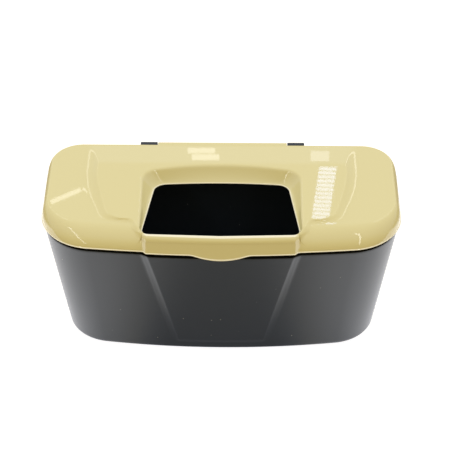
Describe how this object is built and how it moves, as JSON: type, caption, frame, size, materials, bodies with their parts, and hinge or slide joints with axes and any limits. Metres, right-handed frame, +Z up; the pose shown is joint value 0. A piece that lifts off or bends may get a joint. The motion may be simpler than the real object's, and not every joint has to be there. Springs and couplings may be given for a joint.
{
  "type": "car litter bin",
  "caption": "Small hanging litter bin for a car: tapered bow-fronted tub with plug-in back hooks and a hinged lid whose raised plateau has a funnel-edged window and a finger lip.",
  "frame": {"origin": "middle of the tub's flat base, which stands on Z = 0", "axes": "+X across the bin to the right of someone who faces its front, -Y out of the front, +Y out of the hinge side, +Z up"},
  "size_m": [0.2344, 0.1279, 0.1042],
  "materials": {
    "tub_plastic": "satin charcoal polypropylene with a fine grain",
    "lid_plastic": "polished beige ABS",
    "pin_steel": "drawn steel wire",
    "hook_plastic": "satin black moulding"
  },
  "bodies": {
    "tub": {"bin_tub": "tub_plastic", "hinge_pin_left": "pin_steel", "hinge_pin_right": "pin_steel", "hanging_hook_left": "hook_plastic", "hanging_hook_right": "hook_plastic"},
    "lid": {"lid": "lid_plastic"}
  },
  "joints": [
    {"name": "lid_hinge", "type": "hinge", "parent": "tub", "child": "lid", "pos_m": [0, 0.0538, 0.0954], "axis": [-1, 0, 0], "range_deg": [0, 100]}
  ]
}
